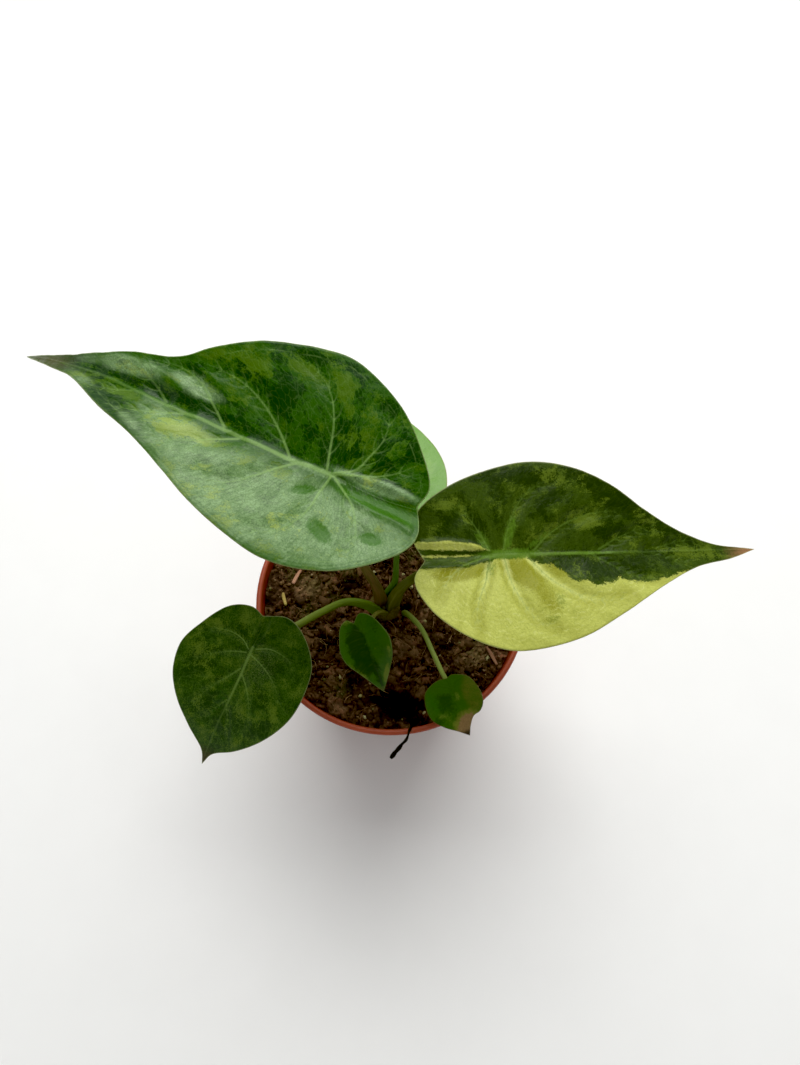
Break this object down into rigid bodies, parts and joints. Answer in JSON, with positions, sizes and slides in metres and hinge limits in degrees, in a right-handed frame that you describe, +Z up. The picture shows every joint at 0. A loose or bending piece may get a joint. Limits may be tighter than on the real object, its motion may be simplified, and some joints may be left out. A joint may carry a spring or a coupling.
{
  "type": "potted alocasia",
  "caption": "Young alocasia with pointed, marbled green and cream leaves on slender stalks, growing in soil in a terracotta-coloured plastic pot.",
  "frame": {"origin": "on the pot's axis, on the flat underside that it stands on", "axes": "+Z up along the pot's axis; -Y is the front, where the low leaves lie; +X is to the right seen from the front"},
  "size_m": [0.2745, 0.1498, 0.2149],
  "materials": {
    "pot_plastic": "satin",
    "soil": "matte",
    "crown": "matte",
    "leaf_large": "satin",
    "leaf_variegated": "satin",
    "leaf_heart": "satin",
    "leaf_folded": "satin",
    "leaf_round": "satin",
    "leaf_rear": "satin",
    "stalk_brownish": "satin",
    "stalk_olive": "satin",
    "stalk_green": "satin",
    "dead_strand": "matte",
    "dry_wood": "matte"
  },
  "bodies": {
    "root": {"pot": "pot_plastic", "soil": "soil", "crown": "crown", "blade_1_large": "leaf_large", "blade_2_variegated": "leaf_variegated", "blade_3_heart": "leaf_heart", "blade_4_folded": "leaf_folded", "blade_5_round": "leaf_round", "blade_6_rear": "leaf_rear", "stalk_1": "stalk_brownish", "stalk_2": "stalk_olive", "stalk_3": "stalk_green", "stalk_4": "stalk_olive", "stalk_5": "stalk_green", "stalk_6": "stalk_green", "strand": "dead_strand", "twig_1": "dry_wood", "twig_2": "dry_wood", "twig_3": "dry_wood"}
  },
  "joints": []
}
